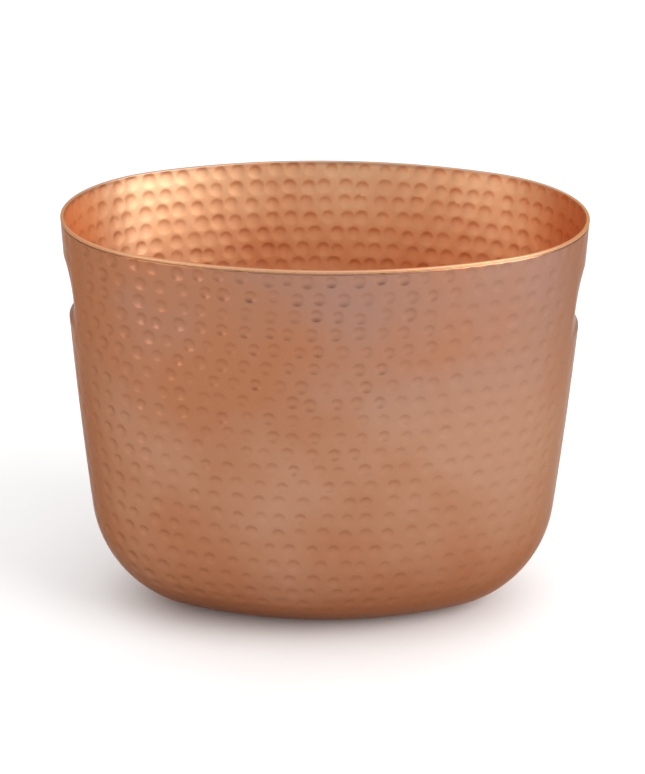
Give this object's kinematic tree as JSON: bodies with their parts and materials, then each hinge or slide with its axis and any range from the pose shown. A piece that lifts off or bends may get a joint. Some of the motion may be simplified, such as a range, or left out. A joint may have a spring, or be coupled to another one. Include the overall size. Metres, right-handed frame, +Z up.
{
  "type": "ice bucket",
  "caption": "Oval double-walled ice bucket in hammered copper, with a rounded base, a thin turned rim and a pressed finger grip at each end.",
  "frame": {"origin": "on the table under the middle of the bucket, in the plane of the feet", "axes": "+Z up through the open top; X along the long way of the oval, from one finger grip to the other; Y across it, with the seen side towards -Y"},
  "size_m": [0.3, 0.2, 0.24],
  "materials": {
    "hammered_copper": null,
    "bright_copper": null,
    "brazing": "brazing alloy, dressed flush and polished",
    "foam": "closed-cell foam sheet",
    "rubber": "matt moulded rubber"
  },
  "bodies": {
    "root": {"outer_shell": "hammered_copper", "inner_liner": "bright_copper", "rim_seam": "brazing", "wall_insulation": "foam", "floor_insulation": "foam", "vent_plug": "rubber", "foot_front_left": "rubber", "foot_front_right": "rubber", "foot_back_left": "rubber", "foot_back_right": "rubber"}
  },
  "joints": []
}
